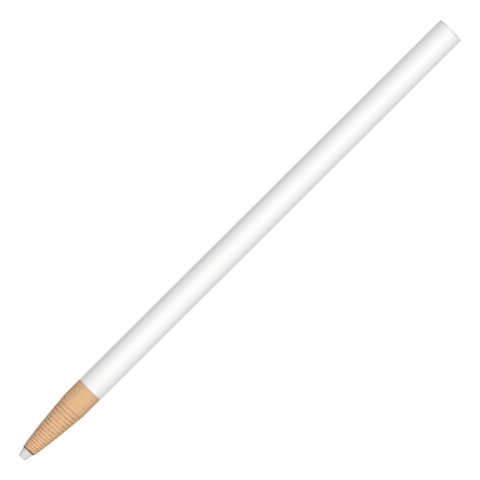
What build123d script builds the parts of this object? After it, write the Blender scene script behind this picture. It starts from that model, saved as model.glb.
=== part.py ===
from build123d import *
import math
import os

# A peel-off china marker: a wax core in a tight roll of kraft paper, under a white cover.
# It lies along X with its tip at -X, and rests on the plane Z = 0.

# Whole marker
MARKER_LENGTH = 175.0
BARREL_DIAMETER = 8.5

# Wax core
CORE_DIAMETER = 3.9
TIP_EXPOSED = 2.55
TIP_DIAMETER = 2.3
TIP_EDGE_ROUND = 0.55
TAPER_LENGTH = 5.0

# Rolled kraft paper, scored into ribbons that peel off one after the other
PAPER_TURNS = 19
CONE_LENGTH = 18.3
PEEL_STEP = 9.25
TAIL_LEAST = 6.0
ROLL_START_ANGLE = -90.0

# White cover sheet
COVER_THICKNESS = 0.05

# Pull string in a groove of the core
STRING_DIAMETER = 0.4
STRING_TUCK = 0.6
STRING_ANGLE = 70.0

# Clearances
CORE_FIT = 0.03
COVER_FIT = 0.01
STRING_FIT = 0.02
COVER_EDGE_GAP = 0.05
RIBBON_GAP = 0.2
PEEL_GAP = 0.15

# Places and radii that follow from the sizes above
AXIS_HEIGHT = BARREL_DIAMETER / 2
REAR = MARKER_LENGTH / 2
TIP = -MARKER_LENGTH / 2
PAPER_FRONT = TIP + TIP_EXPOSED
CORE_RADIUS = CORE_DIAMETER / 2
BORE = CORE_RADIUS + CORE_FIT
PAPER_RADIUS = BARREL_DIAMETER / 2 - COVER_THICKNESS - COVER_FIT
PLY = (PAPER_RADIUS - BORE) / PAPER_TURNS
FIRST_LIP = BORE + PLY
SLEEVE_RADIUS = PAPER_RADIUS - PLY
LAST_TURN = PAPER_TURNS - 1
RIM_TURN = LAST_TURN - 1.5
RIBBONS = int((REAR - PAPER_FRONT - CONE_LENGTH - TAIL_LEAST) / PEEL_STEP)


def ribbon_front(number):
    """X of the front of a ribbon, counted from 1 at the tip."""
    return PAPER_FRONT + (number - 1) * PEEL_STEP


# The front edge of the flat sheet is one straight cut at a slight slant. Rolled up, it climbs one
# ply with each turn, and steps back along X in proportion to the length of paper rolled so far.
def lip_radius(turn):
    return FIRST_LIP + PLY * turn


def lip_setback(turn):
    rolled = FIRST_LIP * turn + PLY * turn**2 / 2
    whole = FIRST_LIP * LAST_TURN + PLY * LAST_TURN**2 / 2
    return CONE_LENGTH * rolled / whole


def around(turn, radius, x):
    angle = math.radians(ROLL_START_ANGLE) + 2 * math.pi * turn
    return (x, radius * math.cos(angle), radius * math.sin(angle))


def half_turn(first, radius, x):
    """A curve through half a turn of the roll, its radius and X given as functions of the turn."""
    turns = [first + step / 16 for step in range(9)]
    return Edge.make_spline([around(turn, radius(turn), x(turn)) for turn in turns])


def ply_end(turn, corners):
    """The sheet's cut end along the roll, an outline of radius and X at one turn."""
    loop = Polyline(*[around(turn, radius, x) for radius, x in corners], close=True)
    return Face(Wire(loop.edges()))


def spiral_roll(front, rear):
    """A roll of paper with its ledge winding back from X = front, cut square at X = rear.

    Its hole is left small, to be bored out to size with what goes in it.
    """

    def at_hole(turn):
        return BORE / 2

    def at_rear(turn):
        return rear

    def at_lip(turn):
        return front + lip_setback(turn)

    def at_next_lip(turn):
        return front + lip_setback(turn + 1)

    def ply_below(turn):
        return lip_radius(turn - 1)

    faces = []
    for half in range(2 * LAST_TURN):
        turn = half / 2
        lip = half_turn(turn, lip_radius, at_lip)
        foot = half_turn(turn, ply_below if turn >= 1 else at_hole, at_lip)
        next_foot = half_turn(turn, lip_radius, at_next_lip)
        faces.append(Face.make_surface_from_curves(foot, lip))
        faces.append(Face.make_surface_from_curves(lip, next_foot))
        if turn < 1:
            hole = half_turn(turn, at_hole, at_rear)
            faces.append(Face.make_surface_from_curves(foot, hole))
        if turn >= LAST_TURN - 1:
            rim = half_turn(turn, lip_radius, at_rear)
            faces.append(Face.make_surface_from_curves(next_foot, rim))

    start = [(at_hole(0), at_lip(0)), (FIRST_LIP, at_lip(0))]
    start += [(FIRST_LIP, at_lip(1)), (at_hole(0), at_lip(1))]
    lap = [(ply_below(LAST_TURN), at_lip(LAST_TURN)), (PAPER_RADIUS, at_lip(LAST_TURN))]
    lap += [(PAPER_RADIUS, at_next_lip(LAST_TURN)), (PAPER_RADIUS, rear)]
    lap += [(ply_below(LAST_TURN), rear)]
    faces += [ply_end(0, start), ply_end(LAST_TURN, lap)]

    rims = [half_turn(LAST_TURN - 1 + part, lip_radius, at_rear) for part in (0, 0.5)]
    lap_line = Edge.make_line(rims[1] @ 1, rims[0] @ 0)
    holes = [half_turn(part, at_hole, at_rear) for part in (0, 0.5)]
    faces.append(Face(Wire([*rims, lap_line]), [Wire(holes)]))
    return Solid(Shell(faces))


def turned(*edges):
    """A solid of revolution about the marker's axis, from an outline of X and radius."""
    return Solid.revolve(Face(Wire(edges)), 360, Axis.X)


def turned_polygon(*points):
    return turned(*Polyline(*points, close=True).edges())


def bored(roll, front, socket):
    """Bore a roll out to the core's fit, and hollow its rear end to the outline of a socket."""
    start, end = socket[0][0], socket[-1][0]
    ahead = front - BORE
    return roll - turned_polygon((ahead, 0), (ahead, BORE), (start, BORE), *socket, (end, 0))


def ledge_socket(front):
    """Clears a roll's ledges, whose lips lie on a parabola, with its tangents at both ends."""
    bend = front + CONE_LENGTH * FIRST_LIP / (FIRST_LIP + PAPER_RADIUS)
    bend_radius = (FIRST_LIP + PAPER_RADIUS) / 2
    return [(front, FIRST_LIP), (bend, bend_radius), (front + CONE_LENGTH, PAPER_RADIUS)]


def cone_socket(front):
    return [(front, FIRST_LIP), (front + CONE_LENGTH, SLEEVE_RADIUS)]


def plain_ribbon(front):
    """A ribbon that stays under the cover, a sleeve coned outside in front and inside behind."""
    back = front + PEEL_STEP - RIBBON_GAP
    return turned_polygon(
        (front, BORE),
        (front, FIRST_LIP),
        (front + CONE_LENGTH, SLEEVE_RADIUS),
        (back + CONE_LENGTH, SLEEVE_RADIUS),
        (back, FIRST_LIP),
        (back, BORE),
    )


# Pull string and its groove, laid out along the top of the core and turned to their place
string_front = PAPER_FRONT + STRING_TUCK
string_length = REAR - string_front
string_axis = CORE_RADIUS - STRING_DIAMETER / 2
string_place = Rot(X=STRING_ANGLE) * Pos(string_front, string_axis, 0)
along_x = (Align.CENTER, Align.CENTER, Align.MIN)
pull_string = string_place * Rot(Y=90) * Cylinder(STRING_DIAMETER / 2, string_length, align=along_x)

groove_width = STRING_DIAMETER + 2 * STRING_FIT
groove_length = string_length + 2 * STRING_DIAMETER
groove = Rot(Y=90) * Cylinder(groove_width / 2, groove_length, align=along_x)
groove += Box(
    groove_length,
    STRING_DIAMETER,
    groove_width,
    align=(Align.MIN, Align.MIN, Align.CENTER),
)
groove = string_place * Pos(-STRING_FIT, 0, 0) * groove

# Wax core with its blunt, ogival tip
shoulder = (TIP + TAPER_LENGTH, CORE_RADIUS)
flank = TangentArc(shoulder, (TIP, TIP_DIAMETER / 2), tangent=(-1, 0))
rest = Polyline((TIP, TIP_DIAMETER / 2), (TIP, 0), (REAR, 0), (REAR, CORE_RADIUS), shoulder)
wax_core = turned(*flank.edges(), *rest.edges())
tip_edge = wax_core.edges().filter_by(GeomType.CIRCLE).sort_by(Axis.X)[0]
wax_core = wax_core.fillet(TIP_EDGE_ROUND, [tip_edge]) - groove

# The front ribbon shows its ledges, and its hollow rear end sits over those of the second ribbon
second = ribbon_front(2)
third = ribbon_front(3)
front_rim = second - PEEL_GAP + lip_setback(RIM_TURN)
second_rim = third + CONE_LENGTH * RIM_TURN / LAST_TURN
front_roll = spiral_roll(PAPER_FRONT, front_rim)
front_ribbon = bored(front_roll, PAPER_FRONT, ledge_socket(second - PEEL_GAP))
second_roll = spiral_roll(second, second_rim)
second_ribbon = bored(second_roll, second, cone_socket(third - RIBBON_GAP))

# What is left of the roll at the rear end, which stays in the hand
tail_front = ribbon_front(RIBBONS + 1)
tail_wrap = turned_polygon(
    (tail_front, BORE),
    (tail_front, FIRST_LIP),
    (tail_front + CONE_LENGTH, SLEEVE_RADIUS),
    (REAR, SLEEVE_RADIUS),
    (REAR, BORE),
)

cover_front = front_rim + COVER_EDGE_GAP
cover_bore = PAPER_RADIUS + COVER_FIT
white_cover = turned_polygon(
    (cover_front, cover_bore),
    (cover_front, cover_bore + COVER_THICKNESS),
    (REAR, cover_bore + COVER_THICKNESS),
    (REAR, cover_bore),
)

pieces = {
    "wax_core": wax_core,
    "pull_string": pull_string,
    "front_ribbon": front_ribbon,
    "peel_ribbon_02": second_ribbon,
    "tail_wrap": tail_wrap,
    "white_cover": white_cover,
}
for number in range(3, RIBBONS + 1):
    pieces[f"peel_ribbon_{number:02d}"] = plain_ribbon(ribbon_front(number))

os.makedirs("parts", exist_ok=True)
for name, piece in pieces.items():
    export_step(Pos(0, 0, AXIS_HEIGHT) * piece, f"parts/{name}.step")
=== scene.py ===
import math

import bmesh
import bpy
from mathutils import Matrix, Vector, noise


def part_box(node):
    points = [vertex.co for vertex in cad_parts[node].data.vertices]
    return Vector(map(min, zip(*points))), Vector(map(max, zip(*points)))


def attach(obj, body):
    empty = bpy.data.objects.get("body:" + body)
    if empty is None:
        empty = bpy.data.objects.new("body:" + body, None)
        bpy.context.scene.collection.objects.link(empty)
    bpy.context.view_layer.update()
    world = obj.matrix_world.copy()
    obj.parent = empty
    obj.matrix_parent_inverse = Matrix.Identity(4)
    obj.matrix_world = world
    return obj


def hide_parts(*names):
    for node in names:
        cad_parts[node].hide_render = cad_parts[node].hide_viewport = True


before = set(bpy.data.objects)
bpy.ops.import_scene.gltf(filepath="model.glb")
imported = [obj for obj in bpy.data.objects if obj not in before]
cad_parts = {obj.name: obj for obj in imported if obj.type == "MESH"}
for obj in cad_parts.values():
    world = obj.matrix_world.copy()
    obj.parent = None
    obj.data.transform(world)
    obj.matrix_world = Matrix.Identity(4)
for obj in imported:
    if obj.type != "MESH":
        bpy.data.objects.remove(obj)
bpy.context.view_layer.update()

# A peel-off china marker. It lies along X with its tip at -X, on the plane Z = 0. Lengths are metres.
MM = 0.001

# Barrel and wax core
BARREL_RADIUS = 4.25 * MM
COVER_THICKNESS = 0.05 * MM
COVER_FIT = 0.01 * MM
CORE_RADIUS = 1.95 * MM
CORE_FIT = 0.03 * MM
TIP_RADIUS = 1.15 * MM
TIP_EDGE_ROUND = 0.55 * MM
TAPER_LENGTH = 5.0 * MM
AXIS_HEIGHT = BARREL_RADIUS

# Rolled kraft paper
PAPER_TURNS = 19
LAST_TURN = PAPER_TURNS - 1
CONE_LENGTH = 18.3 * MM
PEEL_GAP = 0.15 * MM
RIBBON_GAP = 0.2 * MM
ROLL_START_ANGLE = math.radians(-90)
BORE = CORE_RADIUS + CORE_FIT
PAPER_RADIUS = BARREL_RADIUS - COVER_THICKNESS - COVER_FIT
PLY = (PAPER_RADIUS - BORE) / PAPER_TURNS
FIRST_LIP = BORE + PLY
SLEEVE_RADIUS = PAPER_RADIUS - PLY

# Cut edges of the paper: their rounding, the hollow at a ledge's foot, and the groove between ply ends
LIP_ROUND = 0.035 * MM
FOOT_WIDTH = 0.32 * MM
FOOT_DEPTH = 0.03 * MM
PLY_GROOVE = 0.04 * MM

# How far the cut edge wanders along the marker, and the share of its radius by which a ply sinks. The
# pattern is broad and fine noise, its scales by the metre, and it fades out over a length before the rim.
EDGE_WANDER = 0.55 * MM
PLY_WANDER = 0.006
BROAD_WANDER_SCALE = 300.0
FINE_WANDER_SCALE = 1100.0
FINE_WANDER_SHARE = 0.35
RIM_HOLD = 1.0 * MM

# Dirt and painted shade on the paper's front edge, and pale worn lips with a painted highlight
FRONT_DIRT_AND_SHADE = 4.5
FRONT_DIRT_AND_SHADE_WIDTH = 0.1 * MM
LIP_HIGHLIGHT_AND_WEAR = 0.45
LIP_HIGHLIGHT_AND_WEAR_REACH = 0.3 * MM

# Seam and edges of the white cover sheet
COVER_SEAM_ANGLE = math.radians(-110)
COVER_LAP = 0.03 * MM
COVER_EDGE_ROUND = 0.015 * MM

# Pull string in its groove, a thread of twisted strands
STRING_RADIUS = 0.2 * MM
STRING_FIT = 0.02 * MM
STRING_ANGLE = math.radians(70)
STRANDS = 3
TWIST_LENGTH = 1.6 * MM
POINTS_A_TWIST = 10
STRAND_SIDES = 6

# Wear of the bare wax tip: broad hollows, small nicks, and what is rubbed off all over
HOLLOW_SIZE = 1.1 * MM
HOLLOW_DEPTH = 0.04 * MM
NICK_SIZE = 0.4 * MM
NICK_DEPTH = 0.01 * MM
RUBBED_OFF = 0.02 * MM
WORN_FADE = 0.5 * MM

# Places along the marker, from the frame
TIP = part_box("wax_core")[0].x
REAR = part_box("wax_core")[1].x
RIBBON_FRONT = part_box("front_ribbon")[0].x
RIBBON_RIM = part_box("front_ribbon")[1].x
SECOND_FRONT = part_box("peel_ribbon_02")[0].x
SECOND_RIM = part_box("peel_ribbon_02")[1].x
THIRD_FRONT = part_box("peel_ribbon_03")[0].x
TAIL_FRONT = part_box("tail_wrap")[0].x
COVER_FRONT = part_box("white_cover")[0].x
STRING_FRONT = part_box("pull_string")[0].x

# The photograph's frame and focal length, and where the ends of the marker's axis lie in it, in pixels
PHOTO_SIZE = 480
PHOTO_TIP = Vector((21.55, 457.75))
PHOTO_REAR = Vector((450.6, 30.5))
PHOTO_FOCAL = 3400

# Steps of the meshes round the marker: a turn of the cover, of the paper and of the core, and its groove
COVER_SEGMENTS = 128
ROLL_SEGMENTS = 96
CORE_SEGMENTS = 116
GROOVE_STEPS = 8

# Steps of the meshes along the marker, and the rings on the flat of the tip as shares of its radius
COVER_STEPS = 12
BAND_STEPS = 6
NOSE_STEPS = 4
TAPER_STEPS = 16
CORNER_STEPS = 6
BODY_STEPS = 24
TIP_RINGS = (0.12, 0.3, 0.5)

# Points closer than this are merged, and edges that turn by less than this are shaded smooth
MERGE_DISTANCE = 0.0005 * MM
SHARP_ANGLE = math.radians(35)

# The front ribbon's sheet runs on by this share of a turn, and its end shows on the plain band
FRONT_LAP = 40 / ROLL_SEGMENTS


def node_input(node, key, value):
    """Sets one input of a node, by a link from a socket or by a plain value."""
    socket = node.inputs[key]
    if isinstance(value, bpy.types.NodeSocket):
        node.id_data.links.new(value, socket)
    else:
        socket.default_value = value


class Tree:
    """A node tree under construction, with short calls for its nodes and their arithmetic."""

    def __init__(self, tree):
        self.tree = tree

    def add(self, kind, settings=None, **inputs):
        """A new node with its settings and its inputs, whose names have underscores for spaces."""
        node = self.tree.nodes.new(kind)
        for name, value in (settings or {}).items():
            setattr(node, name, value)
        for name, value in inputs.items():
            node_input(node, name.replace("_", " "), value)
        return node

    def math(self, operation, *values, clamp=False):
        node = self.add("ShaderNodeMath", {"operation": operation, "use_clamp": clamp})
        for index, value in enumerate(values):
            node_input(node, index, value)
        return node.outputs[0]

    def plus(self, *values):
        total = values[0]
        for value in values[1:]:
            total = self.math("ADD", total, value)
        return total

    def minus(self, first, second):
        return self.math("SUBTRACT", first, second)

    def times(self, *values):
        total = values[0]
        for value in values[1:]:
            total = self.math("MULTIPLY", total, value)
        return total

    def over(self, first, second):
        return self.math("DIVIDE", first, second)

    def between(self, share, first, second):
        """The value a share of the way from the first to the second."""
        return self.plus(first, self.times(share, self.minus(second, first)))

    def point(self, x, y, z):
        return self.add("ShaderNodeCombineXYZ", X=x, Y=y, Z=z).outputs[0]

    def split(self, vector):
        return self.add("ShaderNodeSeparateXYZ", Vector=vector).outputs

    def reach(self, across, up):
        """Distance from the marker's axis."""
        return self.math("SQRT", self.plus(self.times(across, across), self.times(up, up)))

    def noise(self, place, scale, detail, **inputs):
        return self.add("ShaderNodeTexNoise", Vector=place, Scale=scale, Detail=detail, **inputs).outputs

    def ramp(self, value, low, high, first=0.0, last=1.0):
        """Maps a value from one range to another, held at both ends."""
        node = self.add("ShaderNodeMapRange", Value=value)
        for name, number in (("From Min", low), ("From Max", high), ("To Min", first), ("To Max", last)):
            node_input(node, name, number)
        return node.outputs["Result"]


class GroupTree(Tree):
    """A node group with named inputs and outputs."""

    def __init__(self, name, kind, inputs, outputs):
        super().__init__(bpy.data.node_groups.new(name, kind))
        for in_out, sockets in (("INPUT", inputs), ("OUTPUT", outputs)):
            for socket_name, socket_kind in sockets.items():
                self.tree.interface.new_socket(socket_name, in_out=in_out, socket_type=socket_kind)
        self.given = self.tree.nodes.new("NodeGroupInput").outputs
        self.result = self.tree.nodes.new("NodeGroupOutput")

    def put_out(self, name, value):
        node_input(self.result, name, value)


# Geometry of the wound sheets


class WoundTree(GroupTree):
    """Geometry nodes for a sheet wound about the marker's axis, made of strips that follow its turns."""

    def __init__(self, name, inputs):
        sizes = {key: "NodeSocketFloat" for key in inputs}
        super().__init__(
            name,
            "GeometryNodeTree",
            sizes | {"Segments": "NodeSocketInt", "Material": "NodeSocketMaterial"},
            {"Geometry": "NodeSocketGeometry"},
        )
        self.strips = []

    def pick(self, index, values):
        """The value that stands at an index."""
        node = self.add("GeometryNodeIndexSwitch", {"data_type": "FLOAT"}, Index=index)
        for _ in values[2:]:
            node.index_switch_items.new()
        for place, value in enumerate(values):
            node_input(node, place + 1, value)
        return node.outputs[0]

    def strip(self, first, last, stations):
        """A strip from one turn to another. Its cross-section at each turn is a row of stations, each
        with its radius, its X and how deep it lies in a crevice, which the kraft shows as painted shade:
        above 1 is dirt with painted shade, and below 0 is a worn lip with a painted highlight."""
        span = self.minus(last, first)
        rows = self.math("ROUND", self.plus(self.times(span, self.given["Segments"]), 1.0))
        grid = self.add("GeometryNodeMeshGrid", Size_X=1.0, Size_Y=1.0, Vertices_X=rows)
        place = self.split(self.add("GeometryNodeInputPosition").outputs[0])
        turn = self.plus(first, self.times(span, self.plus(place[0], 0.5)))
        cross = stations(turn)
        node_input(grid, "Vertices Y", len(cross))
        index = self.math("ROUND", self.times(self.plus(place[1], 0.5), len(cross) - 1.0))
        radius, along, crevice = (self.pick(index, column) for column in zip(*cross))
        angle = self.plus(self.given["Start Angle"], self.times(turn, 2 * math.pi))
        across = self.times(radius, self.math("COSINE", angle))
        up = self.plus(self.given["Axis Height"], self.times(radius, self.math("SINE", angle)))
        shaded = self.add(
            "GeometryNodeStoreNamedAttribute",
            {"data_type": "FLOAT", "domain": "POINT"},
            Geometry=grid.outputs["Mesh"],
            Name="crevice",
            Value=crevice,
        )
        placed = self.add(
            "GeometryNodeSetPosition",
            Geometry=shaded.outputs[0],
            Position=self.point(along, across, up),
        )
        self.strips.append(placed.outputs[0])

    def finish(self, roughen=None):
        """Joins the strips, roughens the paper and gives it its material."""
        joined = self.add("GeometryNodeJoinGeometry")
        for strip in self.strips:
            self.tree.links.new(strip, joined.inputs[0])
        geometry = joined.outputs[0]
        if roughen:
            geometry = self.add("GeometryNodeSetPosition", Geometry=geometry, Offset=roughen).outputs[0]
        merged = self.add("GeometryNodeMergeByDistance", Geometry=geometry, Distance=MERGE_DISTANCE)
        faces = self.add("GeometryNodeSetShadeSmooth", Geometry=merged.outputs[0], Shade_Smooth=True)
        angle = self.add("GeometryNodeInputMeshEdgeAngle").outputs[0]
        smooth = self.math("LESS_THAN", angle, SHARP_ANGLE)
        shaded = self.add(
            "GeometryNodeSetShadeSmooth",
            {"domain": "EDGE"},
            Geometry=faces.outputs[0],
            Shade_Smooth=smooth,
        )
        real = self.add("GeometryNodeRealizeInstances", Geometry=shaded.outputs[0])
        dressed = self.add(
            "GeometryNodeSetMaterial",
            Geometry=real.outputs[0],
            Material=self.given["Material"],
        )
        self.put_out("Geometry", dressed.outputs[0])
        return self.tree


ROLL_SIZES = ["Axis Height", "Start Angle", "Bore", "Ply", "Last Turn"]

# How deep in a crevice each place of the paper lies, from 0 in the open to 1 at the foot of a ledge.
# On the kraft this is painted shade, with some grime.
STEP_SHADE = 0.75
LIP_SHADE = 0.45
RIM_SHADE = 0.4
RIM_ROUND_SHADE = 0.1
SOCKET_SHADE = 0.4
BORE_SHADE = 0.5
LAP_SHADE = 0.3
PLY_FOOT_SHADE = 0.6
COVER_INSIDE_SHADE = 1.0
COVER_EDGE_SHADE = 0.6
COVER_ROUND_SHADE = 0.2

# Where the round of an edge is half-way, as a share of its radius
HALF_ROUND = 0.3

# Hollow at the foot of a ledge: shares of its width from its back, of its depth and of its painted shade
FOOT_HOLLOW = [(1.0, 0.0, 0.1), (0.4, 0.35, 0.5), (0.0, 1.0, 1.0)]

# Shares of the worn paleness and painted highlight on the round of a lip and where its dirt and painted
# shade end, and of the dirt and painted shade where the paleness and highlight end
ROUND_HIGHLIGHT_AND_WEAR_SHARE = 0.5
OUTER_HIGHLIGHT_AND_WEAR_SHARE = 0.7
OUTER_DIRT_AND_SHADE_SHARE = 0.3

# Shares of a turn over which a crevice fades out at the end of the sheet, and the dirt with painted
# shade on the first ply
CREVICE_FADE = 1 / 24
DIRT_AND_SHADE_FADE = 1 / 4

# Flat part of a ply's cut end between its two sloped corners, as shares of its thickness
PLY_FLAT = (0.25, 0.75)


class RollTree(WoundTree):
    """A wound roll of paper, whose plies lie on one another from the bore outwards."""

    def __init__(self, name, inputs):
        super().__init__(name, ROLL_SIZES + inputs)
        self.bore = self.given["Bore"]
        self.ply = self.given["Ply"]
        self.last = self.given["Last Turn"]
        self.last_start = self.minus(self.last, 1.0)
        self.first_lip = self.plus(self.bore, self.ply)

    def outside(self, turn):
        """Radius of the outside of the ply at a turn."""
        return self.plus(self.first_lip, self.times(self.ply, turn))

    def below(self, turn):
        """Radius of the ply that it lies on."""
        return self.minus(self.outside(turn), self.ply)


def ledge_tree():
    """A peel ribbon: the cut edge of the wound sheet climbs one ply a turn, and its ledges step back."""
    places = ["Front", "Rim", "Cone Length", "Nose", "Nose Sink"]
    socket_sizes = ["Socket Front", "Socket Bend", "Socket Bend Radius", "Socket Rim Radius"]
    edge_sizes = ["Lip Round", "Foot Width", "Foot Depth", "Edge Wander", "Ply Wander"]
    dirt_wear_and_painted_light_sizes = ["Grime", "Grime Width", "Lip Wear", "Wear Width"]
    t = RollTree("Wound ribbon with ledges", places + socket_sizes + edge_sizes + dirt_wear_and_painted_light_sizes)
    front, rim = t.given["Front"], t.given["Rim"]
    lip_round, foot_width = t.given["Lip Round"], t.given["Foot Width"]

    def rolled(turn):
        return t.times(turn, t.plus(t.first_lip, t.times(t.ply, turn, 0.5)))

    whole = rolled(t.last)

    def lip(turn):
        """X of the sheet's cut edge, which steps back with the length of paper rolled so far."""
        return t.plus(front, t.over(t.times(t.given["Cone Length"], rolled(turn)), whole))

    def crevice_at(turn):
        """1 where another ply stands on this one, fading out where the last ply begins."""
        return t.math("MULTIPLY", t.minus(t.last_start, turn), 1 / CREVICE_FADE, clamp=True)

    def ledge(turn, foot, foot_crevice, lip_dirt_and_shade=0.0):
        """The step up to the cut edge, its rounded lip, and the tread back to the next step's foot."""
        top, edge = t.outside(turn), lip(turn)
        back = lip(t.plus(turn, 1.0))
        flat = t.plus(edge, lip_round)
        rounding = t.times(lip_round, HALF_ROUND)
        dirt_and_shade_end = t.plus(edge, t.given["Grime Width"])
        highlight_and_wear_end = t.plus(edge, t.given["Wear Width"])
        lip_highlight_and_wear = t.given["Lip Wear"]
        round_shade = t.minus(lip_dirt_and_shade, t.times(lip_highlight_and_wear, ROUND_HIGHLIGHT_AND_WEAR_SHARE))
        # Last value of a station: painted shade, a pale worn lip with a painted highlight, or dirt with
        # painted shade
        stations = [
            (foot, edge, foot_crevice),
            (t.between(0.5, foot, top), edge, t.times(foot_crevice, STEP_SHADE)),
            (t.minus(top, lip_round), edge, t.plus(lip_dirt_and_shade, LIP_SHADE)),
            (t.minus(top, rounding), t.plus(edge, rounding), round_shade),
            (top, flat, t.minus(lip_dirt_and_shade, lip_highlight_and_wear)),
            (top, dirt_and_shade_end, t.minus(lip_dirt_and_shade, t.times(lip_highlight_and_wear, OUTER_HIGHLIGHT_AND_WEAR_SHARE))),
            (top, highlight_and_wear_end, t.times(lip_dirt_and_shade, OUTER_DIRT_AND_SHADE_SHARE)),
        ]
        deep = crevice_at(turn)
        sunk = t.times(t.given["Foot Depth"], deep)
        for width_share, depth_share, shade_share in FOOT_HOLLOW:
            radius = t.minus(top, t.times(sunk, depth_share))
            x = t.minus(back, t.times(foot_width, width_share))
            stations.append((radius, x, t.times(deep, shade_share)))
        return stations

    def first_ledge(turn):
        # The front edge's dirt and painted shade fade out over the first quarter turn
        darkened = t.math("MULTIPLY", t.minus(1.0, turn), 1 / DIRT_AND_SHADE_FADE, clamp=True)
        return ledge(turn, t.bore, 1.0, t.times(darkened, t.given["Grime"]))

    def next_ledge(turn):
        deep = crevice_at(t.minus(turn, 1.0))
        return ledge(turn, t.minus(t.below(turn), t.times(t.given["Foot Depth"], deep)), deep)

    def band(turn):
        """The plain outside behind the ledges, with painted shade in a line along the end of the sheet.
        """
        top = t.outside(turn)
        start, end = lip(t.plus(turn, 1.0)), t.minus(rim, lip_round)
        past_lap = t.times(t.minus(turn, t.last_start), t.given["Segments"])
        lap_painted_shade = t.times(t.math("SUBTRACT", 1.0, past_lap, clamp=True), LAP_SHADE)
        rounding = t.times(lip_round, HALF_ROUND)
        stations = []
        for step in range(BAND_STEPS + 1):
            stations.append((top, t.between(step / BAND_STEPS, start, end), lap_painted_shade))
        stations.append((t.minus(top, rounding), t.minus(rim, rounding), RIM_ROUND_SHADE))
        stations.append((t.minus(top, lip_round), rim, RIM_SHADE))
        return stations

    nose_end = t.plus(front, t.given["Nose"])

    def socket(turn):
        """The hollow rear end, and the bore from there to where the wax tapers."""
        # These hollows get painted shade
        return [
            (t.minus(t.outside(turn), lip_round), rim, RIM_SHADE),
            (t.given["Socket Rim Radius"], rim, SOCKET_SHADE),
            (t.given["Socket Bend Radius"], t.given["Socket Bend"], SOCKET_SHADE),
            (t.first_lip, t.given["Socket Front"], SOCKET_SHADE),
            (t.bore, t.given["Socket Front"], SOCKET_SHADE),
            (t.bore, nose_end, BORE_SHADE),
        ]

    def nose(turn):
        """The bore over the tapered wax, up to the sheet's cut edge."""
        shares = [step / NOSE_STEPS for step in range(NOSE_STEPS + 1)]
        return [(t.bore, t.between(share, nose_end, lip(turn)), BORE_SHADE) for share in shares]

    t.strip(0.0, 1.0, first_ledge)
    t.strip(1.0, t.last, next_ledge)
    t.strip(t.last_start, t.last, band)
    t.strip(t.last_start, t.last, socket)
    t.strip(0.0, 1.0, nose)

    # The cut edge wanders along the marker and the plies sink a little, except at the bore and the rim.
    # At the nose they all sink onto the wax, where it tapers under them.
    position = t.add("GeometryNodeInputPosition").outputs[0]
    x, y, z = t.split(position)
    height = t.minus(z, t.given["Axis Height"])
    radius = t.reach(y, height)
    loose = t.times(t.ramp(radius, t.bore, t.first_lip), t.ramp(t.minus(rim, x), 0.0, RIM_HOLD))
    broad = t.noise(position, BROAD_WANDER_SCALE, detail=1.0)["Fac"]
    fine = t.noise(position, FINE_WANDER_SCALE, detail=3.0)["Fac"]
    wander = t.minus(t.between(FINE_WANDER_SHARE, broad, fine), 0.5)
    back = t.times(wander, t.given["Edge Wander"], loose)
    ahead = t.ramp(t.minus(x, front), 0.0, t.given["Nose"], 1.0, 0.0)
    pinch = t.over(t.times(t.given["Nose Sink"], ahead, ahead), radius)
    sunk = t.minus(t.times(fine, t.given["Ply Wander"], loose, -1.0), pinch)
    return t.finish(t.point(back, t.times(y, sunk), t.times(height, sunk)))


def tail_tree():
    """The tail of the roll, cut square: its plies end in a spiral about the core."""
    t = RollTree("Wound tail cut square", ["Front", "Rear", "Cone Length", "Ply Groove"])
    front, rear = t.given["Front"], t.given["Rear"]
    groove = t.minus(rear, t.given["Ply Groove"])
    full = t.outside(t.last)

    def ply_end(outside, inside):
        # Painted shade in the grooves between the ply ends
        flat = [(t.between(share, outside, inside), rear, 0.0) for share in PLY_FLAT]
        return [(outside, groove, PLY_FOOT_SHADE), *flat, (inside, groove, PLY_FOOT_SHADE)]

    def first_ply(turn):
        return ply_end(t.outside(turn), t.bore)

    def next_ply(turn):
        return ply_end(t.outside(turn), t.below(turn))

    def outer_ply(turn):
        return ply_end(full, t.below(turn))

    def wall(turn):
        cone_end = t.plus(front, t.given["Cone Length"])
        nose = [(t.bore, front, BORE_SHADE), (t.first_lip, front, BORE_SHADE)]
        return [*nose, (full, cone_end, 0.0), (full, groove, PLY_FOOT_SHADE)]

    def hole(turn):
        return [(t.bore, groove, PLY_FOOT_SHADE), (t.bore, front, BORE_SHADE)]

    t.strip(0.0, 1.0, first_ply)
    t.strip(1.0, t.last_start, next_ply)
    t.strip(t.last_start, t.last, outer_ply)
    t.strip(t.last_start, t.last, wall)
    t.strip(0.0, 1.0, hole)
    return t.finish()


def cover_tree():
    """The cover sheet, one turn with its edge lapped down along the marker."""
    t = WoundTree(
        "Cover sheet",
        ["Axis Height", "Start Angle", "Radius", "Thickness", "Lap", "Front", "Rear", "Edge Round"],
    )
    front, rear, edge = t.given["Front"], t.given["Rear"], t.given["Edge Round"]
    inside = t.minus(t.given["Radius"], t.given["Thickness"])

    def section(turn):
        top = t.minus(t.given["Radius"], t.times(t.given["Lap"], t.minus(1.0, turn)))
        start, end = t.plus(front, edge), t.minus(rear, edge)
        rounding = t.times(edge, HALF_ROUND)
        edge_top, round_top = t.minus(top, edge), t.minus(top, rounding)
        outside = []
        for step in range(COVER_STEPS + 1):
            outside.append((top, t.between(step / COVER_STEPS, start, end), 0.0))
        return [
            (inside, front, COVER_INSIDE_SHADE),
            (edge_top, front, COVER_EDGE_SHADE),
            (round_top, t.plus(front, rounding), COVER_ROUND_SHADE),
            *outside,
            (round_top, t.minus(rear, rounding), COVER_ROUND_SHADE),
            (edge_top, rear, COVER_EDGE_SHADE),
            (inside, rear, COVER_INSIDE_SHADE),
            (inside, front, COVER_INSIDE_SHADE),
        ]

    t.strip(0.0, 1.0, section)
    return t.finish()


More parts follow.
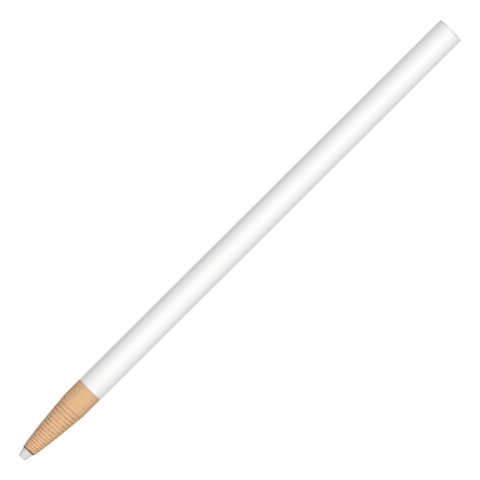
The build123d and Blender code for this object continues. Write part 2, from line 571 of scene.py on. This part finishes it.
def thread_tree():
    """A thread of strands twisted about one another, along a straight line."""
    t = GroupTree(
        "Twisted thread",
        "GeometryNodeTree",
        {
            "Start": "NodeSocketVector",
            "End": "NodeSocketVector",
            "Strands": "NodeSocketInt",
            "Twists": "NodeSocketFloat",
            "Strand Radius": "NodeSocketFloat",
            "Lay Radius": "NodeSocketFloat",
            "Points": "NodeSocketInt",
            "Sides": "NodeSocketInt",
            "Material": "NodeSocketMaterial",
        },
        {"Geometry": "NodeSocketGeometry"},
    )
    line = t.add("GeometryNodeCurvePrimitiveLine", Start=t.given["Start"], End=t.given["End"])
    fine = t.add("GeometryNodeResampleCurve", Curve=line.outputs[0], Count=t.given["Points"])
    strands = t.add(
        "GeometryNodeDuplicateElements",
        {"domain": "SPLINE"},
        Geometry=fine.outputs[0],
        Amount=t.given["Strands"],
    )
    share = t.add("GeometryNodeSplineParameter").outputs["Factor"]
    number = t.over(strands.outputs["Duplicate Index"], t.given["Strands"])
    angle = t.times(t.plus(t.times(share, t.given["Twists"]), number), 2 * math.pi)
    lay = t.given["Lay Radius"]
    offset = t.point(0.0, t.times(lay, t.math("COSINE", angle)), t.times(lay, t.math("SINE", angle)))
    twisted = t.add("GeometryNodeSetPosition", Geometry=strands.outputs[0], Offset=offset)
    ring = t.add(
        "GeometryNodeCurvePrimitiveCircle",
        Radius=t.given["Strand Radius"],
        Resolution=t.given["Sides"],
    )
    tube = t.add(
        "GeometryNodeCurveToMesh",
        Curve=twisted.outputs[0],
        Profile_Curve=ring.outputs[0],
        Fill_Caps=True,
    )
    smooth = t.add("GeometryNodeSetShadeSmooth", Geometry=tube.outputs[0], Shade_Smooth=True)
    real = t.add("GeometryNodeRealizeInstances", Geometry=smooth.outputs[0])
    dressed = t.add("GeometryNodeSetMaterial", Geometry=real.outputs[0], Material=t.given["Material"])
    t.put_out("Geometry", dressed.outputs[0])
    return t.tree


# Pieces


def new_piece(name, mesh):
    piece = bpy.data.objects.new(name, mesh)
    bpy.context.scene.collection.objects.link(piece)
    return piece


def grown(name, tree, values):
    """A piece with the plain mesh that a geometry tree gives for these values of its inputs."""
    piece = new_piece(name, bpy.data.meshes.new(name + "_seed"))
    modifier = piece.modifiers.new("shape", "NODES")
    modifier.node_group = tree
    for item in tree.interface.items_tree:
        if item.in_out == "INPUT":
            modifier[item.identifier] = values[item.name]
    graph = bpy.context.evaluated_depsgraph_get()
    mesh = bpy.data.meshes.new_from_object(piece.evaluated_get(graph), depsgraph=graph)
    piece.modifiers.remove(modifier)
    mesh.name = name
    mesh.materials.clear()
    mesh.materials.append(values["Material"])
    mesh.polygons.foreach_set("material_index", [0] * len(mesh.polygons))
    piece.data = mesh
    return piece


def close_loops(piece):
    """Fills the flat ends that are left open where a wound sheet starts and ends."""
    mesh = bmesh.new()
    mesh.from_mesh(piece.data)
    open_edges = [edge for edge in mesh.edges if edge.is_boundary]
    made = bmesh.ops.holes_fill(mesh, edges=open_edges, sides=0)
    for face in made["faces"]:
        face.smooth = False
    bmesh.ops.recalc_face_normals(mesh, faces=mesh.faces)
    mesh.to_mesh(piece.data)
    mesh.free()


def roll_sizes(material):
    return {
        "Axis Height": AXIS_HEIGHT,
        "Start Angle": ROLL_START_ANGLE,
        "Bore": BORE,
        "Ply": PLY,
        "Last Turn": float(LAST_TURN),
        "Cone Length": CONE_LENGTH,
        "Segments": ROLL_SEGMENTS,
        "Material": material,
    }


def cone_length(last_turn):
    """How far the cut edge steps back in that many turns."""

    def rolled(turn):
        return turn * (FIRST_LIP + PLY * turn / 2)

    return CONE_LENGTH * rolled(last_turn) / rolled(LAST_TURN)


def peel_ribbon(name, tree, material, last_turn, sizes):
    """A ribbon with its ledges. Sizes holds what differs from one ribbon to another."""
    edge_sizes = {
        "Last Turn": last_turn,
        "Cone Length": cone_length(last_turn),
        "Lip Round": LIP_ROUND,
        "Foot Width": FOOT_WIDTH,
        "Foot Depth": FOOT_DEPTH,
        "Grime Width": FRONT_DIRT_AND_SHADE_WIDTH,
        "Lip Wear": LIP_HIGHLIGHT_AND_WEAR,
        "Wear Width": LIP_HIGHLIGHT_AND_WEAR_REACH,
        "Edge Wander": EDGE_WANDER,
        "Ply Wander": PLY_WANDER,
        "Nose": TIP + TAPER_LENGTH - RIBBON_FRONT,
    }
    ribbon = grown(name, tree, roll_sizes(material) | edge_sizes | sizes)
    close_loops(ribbon)
    return ribbon


def front_ribbon(tree, material):
    """Its hollow rear end clears the ledges of the ribbon behind, along two tangents of their curve."""
    start = SECOND_FRONT - PEEL_GAP
    bend = start + CONE_LENGTH * FIRST_LIP / (FIRST_LIP + PAPER_RADIUS)
    bend_radius = (FIRST_LIP + PAPER_RADIUS) / 2
    slope = (PAPER_RADIUS - bend_radius) / (start + CONE_LENGTH - bend)
    sizes = {
        "Front": RIBBON_FRONT,
        "Rim": RIBBON_RIM,
        "Socket Front": start,
        "Socket Bend": bend,
        "Socket Bend Radius": bend_radius,
        "Socket Rim Radius": bend_radius + slope * (RIBBON_RIM - bend),
        "Grime": FRONT_DIRT_AND_SHADE,
        "Nose Sink": CORE_RADIUS - flank(RIBBON_FRONT),
    }
    return peel_ribbon("front_ribbon_ledges", tree, material, LAST_TURN + FRONT_LAP, sizes)


def second_ribbon(tree, material):
    """Its hollow rear end is a plain cone, as on the ribbons behind it."""
    start = THIRD_FRONT - RIBBON_GAP
    slope = (SLEEVE_RADIUS - FIRST_LIP) / CONE_LENGTH
    middle = (start + SECOND_RIM) / 2
    sizes = {
        "Front": SECOND_FRONT,
        "Rim": SECOND_RIM,
        "Socket Front": start,
        "Socket Bend": middle,
        "Socket Bend Radius": FIRST_LIP + slope * (middle - start),
        "Socket Rim Radius": FIRST_LIP + slope * (SECOND_RIM - start),
        "Grime": 0.0,
        "Nose Sink": 0.0,
    }
    return peel_ribbon("second_ribbon_ledges", tree, material, float(LAST_TURN), sizes)


def tail_of_roll(tree, material):
    sizes = {"Front": TAIL_FRONT, "Rear": REAR, "Ply Groove": PLY_GROOVE}
    tail = grown("tail_wrap_plies", tree, roll_sizes(material) | sizes)
    close_loops(tail)
    return tail


def cover_sheet(tree, material):
    cover = grown(
        "white_cover_sheet",
        tree,
        {
            "Axis Height": AXIS_HEIGHT,
            "Start Angle": COVER_SEAM_ANGLE,
            "Radius": BARREL_RADIUS,
            "Thickness": COVER_THICKNESS,
            "Lap": COVER_LAP,
            "Front": COVER_FRONT,
            "Rear": REAR,
            "Edge Round": COVER_EDGE_ROUND,
            "Segments": COVER_SEGMENTS,
            "Material": material,
        },
    )
    close_loops(cover)
    return cover


def pull_string(tree, material):
    """The thread, drawn in a little at both ends because its strands are cut square to their slant."""
    reach = CORE_RADIUS - STRING_RADIUS
    y, z = reach * math.cos(STRING_ANGLE), AXIS_HEIGHT + reach * math.sin(STRING_ANGLE)
    twists = (REAR - STRING_FRONT) / TWIST_LENGTH
    end_slant = STRING_RADIUS / 5
    return grown(
        "pull_string_thread",
        tree,
        {
            "Start": Vector((STRING_FRONT + end_slant, y, z)),
            "End": Vector((REAR - end_slant, y, z)),
            "Strands": STRANDS,
            "Twists": twists,
            "Strand Radius": STRING_RADIUS / 2,
            "Lay Radius": STRING_RADIUS / 2,
            "Points": round(twists * POINTS_A_TWIST),
            "Sides": STRAND_SIDES,
            "Material": material,
        },
    )


def rounded(before, corner, after, radius):
    """Points of an arc that rounds a corner of an outline."""
    back = (before - corner).normalized()
    ahead = (after - corner).normalized()
    half = back.angle(ahead) / 2
    middle = corner + (back + ahead).normalized() * radius / math.sin(half)
    first = corner + back * radius / math.tan(half)
    last = corner + ahead * radius / math.tan(half)
    points = []
    for step in range(CORNER_STEPS + 1):
        chord = first.lerp(last, step / CORNER_STEPS) - middle
        points.append(middle + chord.normalized() * radius)
    return points


def flank(x):
    """Radius of the wax core at X, along the arc that tapers it to the tip."""
    drop = CORE_RADIUS - TIP_RADIUS
    arc_radius = (TAPER_LENGTH**2 + drop**2) / (2 * drop)
    reach = max(TIP + TAPER_LENGTH - x, 0.0)
    return CORE_RADIUS - arc_radius + math.sqrt(arc_radius**2 - reach**2)


def core_outline():
    """X and radius along the wax core, from the middle of its blunt tip to its shoulder."""
    places = [TIP + TAPER_LENGTH * step / TAPER_STEPS for step in range(1, TAPER_STEPS + 1)]
    flank_points = [Vector((x, flank(x))) for x in places]
    corner = Vector((TIP, TIP_RADIUS))
    tip_middle = Vector((TIP, 0.0))
    edge = rounded(tip_middle, corner, flank_points[1], TIP_EDGE_ROUND)
    outline = [Vector((TIP, TIP_RADIUS * share)) for share in TIP_RINGS]
    outline += edge
    outline += [point for point in flank_points if point.x > edge[-1].x]
    return outline


def core_ring(x, radius, groove_share):
    """One ring round the core, with its groove for the string sunk by a share of its depth."""
    half_width = STRING_RADIUS + STRING_FIT
    groove_middle = CORE_RADIUS - STRING_RADIUS
    half_angle = math.asin(half_width / CORE_RADIUS)
    points = []
    for step in range(CORE_SEGMENTS + 1):
        angle = half_angle + (2 * math.pi - 2 * half_angle) * step / CORE_SEGMENTS
        points.append((radius * math.cos(angle), radius * math.sin(angle)))
    for step in range(GROOVE_STEPS + 1):
        turn = math.pi * step / GROOVE_STEPS
        sunk = (groove_middle - half_width * math.sin(turn), -half_width * math.cos(turn))
        angle = -half_angle * math.cos(turn)
        even = (radius * math.cos(angle), radius * math.sin(angle))
        points.append(tuple(e + groove_share * (s - e) for e, s in zip(even, sunk)))
    cos, sin = math.cos(STRING_ANGLE), math.sin(STRING_ANGLE)
    return [(x, a * cos - b * sin, AXIS_HEIGHT + a * sin + b * cos) for a, b in points]


def outline_radius(outline, x):
    """Radius of an outline at X, between two of its points."""
    for first, second in zip(outline, outline[1:]):
        if first.x < x <= second.x:
            return first.y + (second.y - first.y) * (x - first.x) / (second.x - first.x)
    return outline[-1].y


def worn(point):
    """Moves a point of the bare tip in or out a little, as wax wears in use."""
    bare = min(max((RIBBON_FRONT - point[0]) / WORN_FADE, 0.0), 1.0)
    place = Vector(point)
    middle = Vector((TIP + TAPER_LENGTH / 2, 0.0, AXIS_HEIGHT))
    hollow = noise.noise(place / HOLLOW_SIZE) * HOLLOW_DEPTH
    nick = noise.noise(place / NICK_SIZE) * NICK_DEPTH
    return place + (place - middle).normalized() * (hollow + nick - RUBBED_OFF) * bare


def core_rings():
    """The rings round the core, from its tip to its rear end. The groove starts with a square step."""
    groove_front = STRING_FRONT - STRING_FIT
    outline = core_outline()
    rings = [core_ring(point.x, point.y, 0.0) for point in outline if point.x < groove_front]
    step_radius = outline_radius(outline, groove_front)
    rings += [core_ring(groove_front, step_radius, share) for share in (0.0, 1.0)]
    rings += [core_ring(point.x, point.y, 1.0) for point in outline if point.x > groove_front]
    shoulder = TIP + TAPER_LENGTH
    for step in range(1, BODY_STEPS + 1):
        rings.append(core_ring(shoulder + (REAR - shoulder) * step / BODY_STEPS, CORE_RADIUS, 1.0))
    return rings


def shade_smooth(mesh):
    """Turns the faces outwards and shades them smooth, apart from sharp edges."""
    work = bmesh.new()
    work.from_mesh(mesh)
    bmesh.ops.recalc_face_normals(work, faces=work.faces)
    for face in work.faces:
        face.smooth = True
    for edge in work.edges:
        edge.smooth = edge.calc_face_angle(0.0) < SHARP_ANGLE
    work.to_mesh(mesh)
    work.free()


def wax_core(material):
    rings = core_rings()
    count = len(rings[0])
    points = [worn(point) for ring in rings for point in ring]
    faces = []
    for start in range(0, len(points) - count, count):
        for place in range(count):
            a, b = start + place, start + (place + 1) % count
            faces.append((a, b, b + count, a + count))
    faces.append(tuple(range(count)))
    faces.append(tuple(range(len(points) - count, len(points))))
    mesh = bpy.data.meshes.new("wax_core_stick")
    mesh.from_pydata(points, [], faces)
    mesh.materials.append(material)
    shade_smooth(mesh)
    return new_piece("wax_core_stick", mesh)


# Materials


# Radius at which a pattern laid round the barrel has its true length
PATTERN_RADIUS = 0.8 * BARREL_RADIUS

# Paper fibres: their slants to the marker's axis in degrees, their bends, and the contrast of their tone
FIBRE_SLANTS = (62, -23, 18)
FIBRE_BEND = 1.4
FIBRE_BEND_SCALE = 0.3
FIBRE_CONTRAST = 1.2

# Height of the fibres' pattern above which they are flecks, less the share of flecks, and its soft edge
FLECK_HEIGHT = 0.8
FLECK_EDGE = 0.08

# Ranges of the fibres' tone and of the clouds' pattern
TONE_RANGE = (0.3, 0.7)
CLOUD_RANGE = (0.38, 0.66)


def sheet_group():
    """Lays a pattern round the barrel: X along it, then the length round it, then the radius."""
    t = GroupTree(
        "Round the barrel",
        "ShaderNodeTree",
        {"Object": "NodeSocketVector"},
        {"Sheet": "NodeSocketVector"},
    )
    x, y, z = t.split(t.given["Object"])
    height = t.minus(z, AXIS_HEIGHT)
    angle = t.math("ARCTAN2", y, height)
    t.put_out("Sheet", t.point(x, t.times(angle, PATTERN_RADIUS), t.reach(y, height)))
    return t.tree


def fibre_group():
    """Paper fibres, bent, at three slants: their tone, which also serves as relief, and sparse flecks."""
    t = GroupTree(
        "Paper fibres",
        "ShaderNodeTree",
        {
            "Sheet": "NodeSocketVector",
            "Fibre Width": "NodeSocketFloat",
            "Fibre Length": "NodeSocketFloat",
            "Fleck Share": "NodeSocketFloat",
        },
        {"Tone": "NodeSocketFloat", "Flecks": "NodeSocketFloat"},
    )
    x, round_it, depth = t.split(t.given["Sheet"])
    width, length = t.given["Fibre Width"], t.given["Fibre Length"]
    bends = t.noise(t.given["Sheet"], t.over(FIBRE_BEND_SCALE, length), detail=1.0)["Color"]
    bend_along, bend_round, _ = t.split(bends)
    x = t.plus(x, t.times(t.minus(bend_along, 0.5), length, FIBRE_BEND))
    round_it = t.plus(round_it, t.times(t.minus(bend_round, 0.5), length, FIBRE_BEND))

    def laid(slant):
        """Fibres that lie at a slant to the marker's axis."""
        cos, sin = math.cos(math.radians(slant)), math.sin(math.radians(slant))
        lengthways = t.plus(t.times(x, cos), t.times(round_it, sin))
        sideways = t.minus(t.times(round_it, cos), t.times(x, sin))
        place = t.point(t.over(lengthways, length), t.over(sideways, width), t.over(depth, width))
        return t.noise(place, 1.0, detail=3.0, Roughness=0.6)["Fac"]

    first, second, third = (laid(slant) for slant in FIBRE_SLANTS)
    tone = t.over(t.plus(first, second, third), 3.0)
    strongest = t.math("MAXIMUM", t.math("MAXIMUM", first, second), third)
    fleck = t.minus(FLECK_HEIGHT, t.given["Fleck Share"])
    t.put_out("Tone", t.between(FIBRE_CONTRAST, 0.5, tone))
    t.put_out("Flecks", t.ramp(strongest, fleck, t.plus(fleck, FLECK_EDGE)))
    return t.tree


def smudge_group():
    """Soft clouds from handling, from 0 to 1."""
    t = GroupTree(
        "Handling clouds",
        "ShaderNodeTree",
        {"Place": "NodeSocketVector", "Size": "NodeSocketFloat", "Seed": "NodeSocketFloat"},
        {"Cloud": "NodeSocketFloat"},
    )
    pattern = t.add(
        "ShaderNodeTexNoise",
        {"noise_dimensions": "4D"},
        Vector=t.given["Place"],
        W=t.given["Seed"],
        Scale=t.over(1.0, t.given["Size"]),
        Detail=3.0,
    )
    t.put_out("Cloud", t.ramp(pattern.outputs["Fac"], *CLOUD_RANGE))
    return t.tree


def emptied(block):
    """The node tree of a material or a world, with nothing in it yet."""
    block.use_nodes = True
    block.node_tree.nodes.clear()
    return block.node_tree


class Finish(Tree):
    """A material with a Principled shader, and the shared groups at hand."""

    def __init__(self, groups, name, **plain):
        self.material = bpy.data.materials.new(name)
        super().__init__(emptied(self.material))
        self.groups = groups
        self.shader = self.add("ShaderNodeBsdfPrincipled", **plain)
        output = self.add("ShaderNodeOutputMaterial")
        node_input(output, "Surface", self.shader.outputs[0])
        self.place = self.add("ShaderNodeTexCoord").outputs["Object"]

    def group(self, name, **inputs):
        return self.add("ShaderNodeGroup", {"node_tree": self.groups[name]}, **inputs).outputs

    def sheet(self):
        return self.group("sheet", Object=self.place)["Sheet"]

    def cloud(self, place, size, seed):
        return self.group("smudge", Place=place, Size=size, Seed=seed)["Cloud"]

    def along(self, start, end, *values):
        """Goes from 0 to 1, or from one given value to another, between two places along the marker."""
        return self.ramp(self.split(self.place)[0], start, end, *values)

    def mix(self, share, first, second):
        node = self.add("ShaderNodeMix", {"data_type": "RGBA"})
        node_input(node, 0, share)
        node_input(node, 6, first)
        node_input(node, 7, second)
        return node.outputs[2]

    def bump(self, height, distance, strength):
        node = self.add("ShaderNodeBump", Height=height, Distance=distance, Strength=strength)
        self.set("Normal", node.outputs[0])

    def attribute(self, name):
        return self.add("ShaderNodeAttribute", {"attribute_name": name}).outputs["Fac"]

    def set(self, name, value):
        node_input(self.shader, name, value)


def srgb(red, green, blue):
    """A colour given as it looks on a screen, from 0 to 255, as linear light with alpha."""

    def linear(part):
        part /= 255
        return part / 12.92 if part <= 0.04045 else ((part + 0.055) / 1.055) ** 2.4

    return (linear(red), linear(green), linear(blue), 1.0)


KRAFT_TAN = srgb(236, 198, 153)
KRAFT_WARM = srgb(247, 198, 153)
KRAFT_FIBRE = srgb(214, 168, 121)
KRAFT_FLECK = srgb(186, 132, 90)
# Painted shade with some grime for crevices, dirt with painted shade for the front edge, and a pale worn
# colour with a painted highlight for the lips
KRAFT_SHADE_AND_GRIME = srgb(116, 60, 34)
KRAFT_EDGE_DIRT_AND_SHADE = srgb(82, 60, 48)
KRAFT_HIGHLIGHT_AND_WEAR = srgb(253, 226, 194)

# Warmth of hue: the shares that the cone and patches give, what of the cone's the plain band keeps, and
# how far before and behind the last ledge the one goes over into the other
CONE_WARMTH = 0.6
PATCH_WARMTH = 0.4
BAND_KEEPS = 0.35
WARM_BEFORE = 1.0 * MM
WARM_BEHIND = 3.0 * MM

# Shares of the fibres and flecks, and the range of the crevice attribute over which the painted shade
# and grime of crevices goes over into the dirt and painted shade of the front edge
KRAFT_FIBRE_SHARE = 0.6
KRAFT_FLECK_SHARE = 0.3
EDGE_DIRT_AND_SHADE_RANGE = (1.0, 1.5)


def kraft_finish(groups):
    """Tan paper with fibres and patches, dark crevices of painted shade and some grime, a front edge
    of dirt and painted shade, and pale worn lips with a painted highlight.
    """
    t = Finish(groups, "kraft_paper", Specular_IOR_Level=0.03)
    sheet = t.sheet()
    fibres = t.group("fibre", Sheet=sheet, Fibre_Width=0.1 * MM, Fibre_Length=0.45 * MM, Fleck_Share=0.2)
    patch = t.cloud(sheet, size=4.0 * MM, seed=3.0)
    blotch = t.cloud(sheet, size=1.6 * MM, seed=9.0)
    speckle = t.cloud(sheet, size=0.35 * MM, seed=6.0)

    cone_end = RIBBON_FRONT + CONE_LENGTH
    on_cone = t.along(cone_end - WARM_BEFORE, cone_end + WARM_BEHIND, 1.0, BAND_KEEPS)
    warmth = t.plus(t.times(patch, PATCH_WARMTH), t.times(on_cone, CONE_WARMTH))
    base = t.mix(warmth, KRAFT_TAN, KRAFT_WARM)
    toned = t.mix(t.ramp(fibres["Tone"], *TONE_RANGE, 0.0, KRAFT_FIBRE_SHARE), base, KRAFT_FIBRE)
    flecked = t.mix(t.times(fibres["Flecks"], KRAFT_FLECK_SHARE), toned, KRAFT_FLECK)

    # The attribute is painted shade: 1 at the foot of a ledge, above 1 on the front edge, which is dirty
    # and has painted shade, and below 0 on a worn lip, which has a painted highlight
    crevice = t.attribute("crevice")
    highlight_and_wear_strength = t.times(t.plus(0.6, t.times(speckle, 0.8)), -1.0)
    lipped = t.mix(t.math("MULTIPLY", crevice, highlight_and_wear_strength, clamp=True), flecked, KRAFT_HIGHLIGHT_AND_WEAR)
    uneven = t.plus(0.2, t.times(blotch, 0.85), t.times(speckle, 0.35))
    shade = t.mix(t.ramp(crevice, *EDGE_DIRT_AND_SHADE_RANGE), KRAFT_SHADE_AND_GRIME, KRAFT_EDGE_DIRT_AND_SHADE)
    t.set("Base Color", t.mix(t.math("MULTIPLY", crevice, uneven, clamp=True), lipped, shade))
    t.set("Roughness", t.ramp(fibres["Tone"], *TONE_RANGE, 0.72, 0.9))
    t.bump(fibres["Tone"], distance=0.06 * MM, strength=0.7)
    return t.material


COVER_WHITE = srgb(249, 249, 249)
COVER_CLOUD = srgb(246, 246, 245)
COVER_FIBRE = srgb(243, 243, 243)
COVER_SOIL = srgb(172, 170, 166)
COVER_CUT_EDGE = srgb(226, 222, 214)

# Shares of the clouds, fibres and cut edges, and how far the soil of the rear end reaches along the white
COVER_CLOUD_SHARE = 0.6
COVER_FIBRE_SHARE = 0.4
COVER_CUT_SHARE = 0.6
SOIL_REACH = 0.9 * MM


def cover_finish(groups):
    """Coated white paper: faint fibres and clouds under a soft gloss, and some soil at the rear end."""
    t = Finish(groups, "coated_white", Specular_IOR_Level=0.3, Coat_Weight=0.5, Coat_Roughness=0.22)
    sheet = t.sheet()
    fibres = t.group("fibre", Sheet=sheet, Fibre_Width=0.18 * MM, Fibre_Length=0.6 * MM)
    cloud = t.cloud(sheet, size=9.0 * MM, seed=7.0)
    soil = t.cloud(sheet, size=2.5 * MM, seed=4.0)
    base = t.mix(t.times(cloud, COVER_CLOUD_SHARE), COVER_WHITE, COVER_CLOUD)
    toned = t.mix(t.ramp(fibres["Tone"], *TONE_RANGE, 0.0, COVER_FIBRE_SHARE), base, COVER_FIBRE)
    near_rear = t.along(REAR - SOIL_REACH, REAR)
    soiling = t.times(near_rear, near_rear, t.plus(0.2, t.times(soil, 0.6)))
    darkened = t.mix(soiling, toned, COVER_SOIL)
    cut = t.times(t.attribute("crevice"), COVER_CUT_SHARE)
    t.set("Base Color", t.mix(cut, darkened, COVER_CUT_EDGE))
    t.set("Roughness", t.plus(t.ramp(fibres["Tone"], *TONE_RANGE, 0.34, 0.42), t.times(cloud, 0.08)))
    t.bump(fibres["Tone"], distance=0.02 * MM, strength=0.25)
    return t.material


WAX_PALE = srgb(232, 233, 230)
WAX_CLOUD = srgb(221, 223, 219)
WAX_SPECK = srgb(212, 213, 209)
# A stained colour with painted shade, for the ring at the front of the paper
WAX_SHADE_AND_STAIN = srgb(122, 96, 76)

# Shares of the clouds and specks, and where the stained ring with painted shade under the front of
# the paper comes in and goes out
WAX_CLOUD_SHARE = 0.7
WAX_SPECK_SHARE = 0.25
STAIN_AND_SHADE_IN = (RIBBON_FRONT + 0.2 * MM, RIBBON_FRONT + 0.42 * MM)
STAIN_AND_SHADE_OUT = (RIBBON_FRONT + 0.6 * MM, RIBBON_FRONT + 1.0 * MM)


def wax_finish(groups):
    """Greasy pale wax, clouded and specked, with a ring under the front of the paper that is stained
    and has painted shade.
    """
    t = Finish(
        groups,
        "white_wax",
        Subsurface_Weight=0.06,
        Subsurface_Scale=0.5 * MM,
        Subsurface_Radius=(1.0, 0.9, 0.8),
        Specular_IOR_Level=0.3,
    )
    cloud = t.cloud(t.place, size=0.9 * MM, seed=1.0)
    speck = t.cloud(t.place, size=0.22 * MM, seed=5.0)
    base = t.mix(t.times(cloud, WAX_CLOUD_SHARE), WAX_PALE, WAX_CLOUD)
    specked = t.mix(t.times(speck, WAX_SPECK_SHARE), base, WAX_SPECK)
    # The stained ring with painted shade at the front of the paper
    ring = t.minus(t.along(*STAIN_AND_SHADE_IN), t.along(*STAIN_AND_SHADE_OUT))
    stain_and_shade = t.times(ring, t.plus(0.25, t.times(speck, 0.5)))
    t.set("Base Color", t.mix(stain_and_shade, specked, WAX_SHADE_AND_STAIN))
    t.set("Roughness", t.plus(0.38, t.times(speck, 0.18)))
    t.bump(t.plus(t.times(cloud, 0.6), t.times(speck, 0.4)), distance=0.04 * MM, strength=0.5)
    return t.material


COTTON_PALE = srgb(232, 226, 212)
COTTON_DULL = srgb(206, 196, 176)


def string_finish(groups):
    """Undyed cotton thread."""
    t = Finish(groups, "cotton_thread", Specular_IOR_Level=0.2)
    lint = t.cloud(t.place, size=0.12 * MM, seed=2.0)
    t.set("Base Color", t.mix(lint, COTTON_PALE, COTTON_DULL))
    t.set("Roughness", t.plus(0.82, t.times(lint, 0.12)))
    t.bump(lint, distance=0.03 * MM, strength=0.6)
    return t.material


# Light, floor and camera


# A wide lamp over the marker. Its level is about the light that a white card facing it would give back.
LAMP_TOWARD = Vector((0.0, -0.15, 1.0)).normalized()
LAMP_DISTANCE = 1.1
LAMP_LENGTH = 2.4
LAMP_WIDTH = 1.5
LAMP_LEVEL = 1.13

# Even light from all round
WORLD_LEVEL = 0.44

# Half the floor's width, its grey for the light that it throws back, and what the camera sees of it: a
# glow and a little shade
FLOOR_HALF = 3.0
FLOOR_GREY = 0.2
FLOOR_GLOW = 0.9
FLOOR_SHADE = 0.15

# Nearest and furthest that the camera sees
CAMERA_CLIP = (0.01, 10.0)


def grey(level):
    return (level, level, level, 1.0)


def white_for_camera(t, surface, background):
    """Shows the background to the camera, and in mirrors and glass, and the surface to all other rays."""
    path = t.add("ShaderNodeLightPath").outputs
    seen = t.math("MAXIMUM", path["Is Camera Ray"], path["Is Glossy Ray"])
    seen = t.math("MAXIMUM", seen, path["Is Transmission Ray"])
    mixed = t.add("ShaderNodeMixShader", Fac=seen)
    node_input(mixed, 1, surface)
    node_input(mixed, 2, background)
    return mixed.outputs[0]


def pale_floor():
    mesh = bpy.data.meshes.new("pale_floor")
    corners = [(-1, -1), (1, -1), (1, 1), (-1, 1)]
    mesh.from_pydata([(x * FLOOR_HALF, y * FLOOR_HALF, 0) for x, y in corners], [], [(0, 1, 2, 3)])
    material = bpy.data.materials.new("pale_floor")
    t = Tree(emptied(material))
    matte = t.add("ShaderNodeBsdfDiffuse", Color=grey(FLOOR_GREY)).outputs[0]
    shaded = t.add("ShaderNodeBsdfDiffuse", Color=grey(FLOOR_SHADE)).outputs[0]
    glow = t.add("ShaderNodeEmission", Color=grey(1.0), Strength=FLOOR_GLOW).outputs[0]
    white = t.add("ShaderNodeAddShader")
    node_input(white, 0, shaded)
    node_input(white, 1, glow)
    output = t.add("ShaderNodeOutputMaterial")
    node_input(output, "Surface", white_for_camera(t, matte, white.outputs[0]))
    mesh.materials.append(material)
    new_piece("pale_floor", mesh)


def studio_world():
    world = bpy.data.worlds.new("studio")
    t = Tree(emptied(world))
    soft = t.add("ShaderNodeBackground", Color=grey(1.0), Strength=WORLD_LEVEL).outputs[0]
    white = t.add("ShaderNodeBackground", Color=grey(1.0), Strength=1.0).outputs[0]
    output = t.add("ShaderNodeOutputWorld")
    node_input(output, "Surface", white_for_camera(t, soft, white))
    bpy.context.scene.world = world


def overhead_lamp():
    lamp = bpy.data.lights.new("overhead", "AREA")
    lamp.shape = "RECTANGLE"
    lamp.size, lamp.size_y = LAMP_LENGTH, LAMP_WIDTH
    lamp.energy = LAMP_LEVEL * math.pi**2 * LAMP_DISTANCE**2
    place = bpy.data.objects.new("overhead", lamp)
    place.location = LAMP_TOWARD * LAMP_DISTANCE
    place.rotation_euler = LAMP_TOWARD.to_track_quat("Z", "Y").to_euler()
    bpy.context.scene.collection.objects.link(place)


def camera_above():
    """Looks straight down, turned so that the marker's two ends fall where the photograph has them."""
    axis = PHOTO_REAR - PHOTO_TIP
    turn = math.atan2(axis.y, axis.x)
    metres = (REAR - TIP) / axis.length
    right = Vector((math.cos(turn), math.sin(turn), 0.0))
    up = Vector((-math.sin(turn), math.cos(turn), 0.0))
    offset = Vector((PHOTO_SIZE / 2, PHOTO_SIZE / 2)) - (PHOTO_TIP + PHOTO_REAR) / 2
    middle = Vector(((TIP + REAR) / 2, 0.0, AXIS_HEIGHT))
    camera = bpy.data.cameras.new("above")
    camera.lens = PHOTO_FOCAL / PHOTO_SIZE * camera.sensor_width
    camera.clip_start, camera.clip_end = CAMERA_CLIP
    above = bpy.data.objects.new("above", camera)
    above.location = middle + (right * offset.x - up * offset.y) * metres
    above.location.z += PHOTO_FOCAL * metres
    above.rotation_euler = (0.0, 0.0, turn)
    bpy.context.scene.collection.objects.link(above)
    bpy.context.scene.camera = above


def settle(piece, body, slot, *nodes):
    """Puts a piece on its body, in place of the solids that it stands for."""
    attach(piece, body)
    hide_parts(*nodes)


groups = {"sheet": sheet_group(), "fibre": fibre_group(), "smudge": smudge_group()}
kraft = kraft_finish(groups)
coated = cover_finish(groups)
wax = wax_finish(groups)
cotton = string_finish(groups)

ledges = ledge_tree()
settle(front_ribbon(ledges, kraft), "front_ribbon", "kraft", "front_ribbon")
settle(second_ribbon(ledges, kraft), "marker", "kraft", "peel_ribbon_02")
settle(tail_of_roll(tail_tree(), kraft), "marker", "kraft", "tail_wrap")
settle(cover_sheet(cover_tree(), coated), "marker", "cover", "white_cover")
settle(pull_string(thread_tree(), cotton), "marker", "string", "pull_string")
settle(wax_core(wax), "marker", "wax", "wax_core")

# The other ribbons keep their solids, in the same paper
for name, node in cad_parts.items():
    if name.startswith("peel_ribbon"):
        node.data.materials.clear()
        node.data.materials.append(kraft)

pale_floor()
studio_world()
overhead_lamp()
camera_above()
bpy.context.scene.view_settings.view_transform = "Standard"
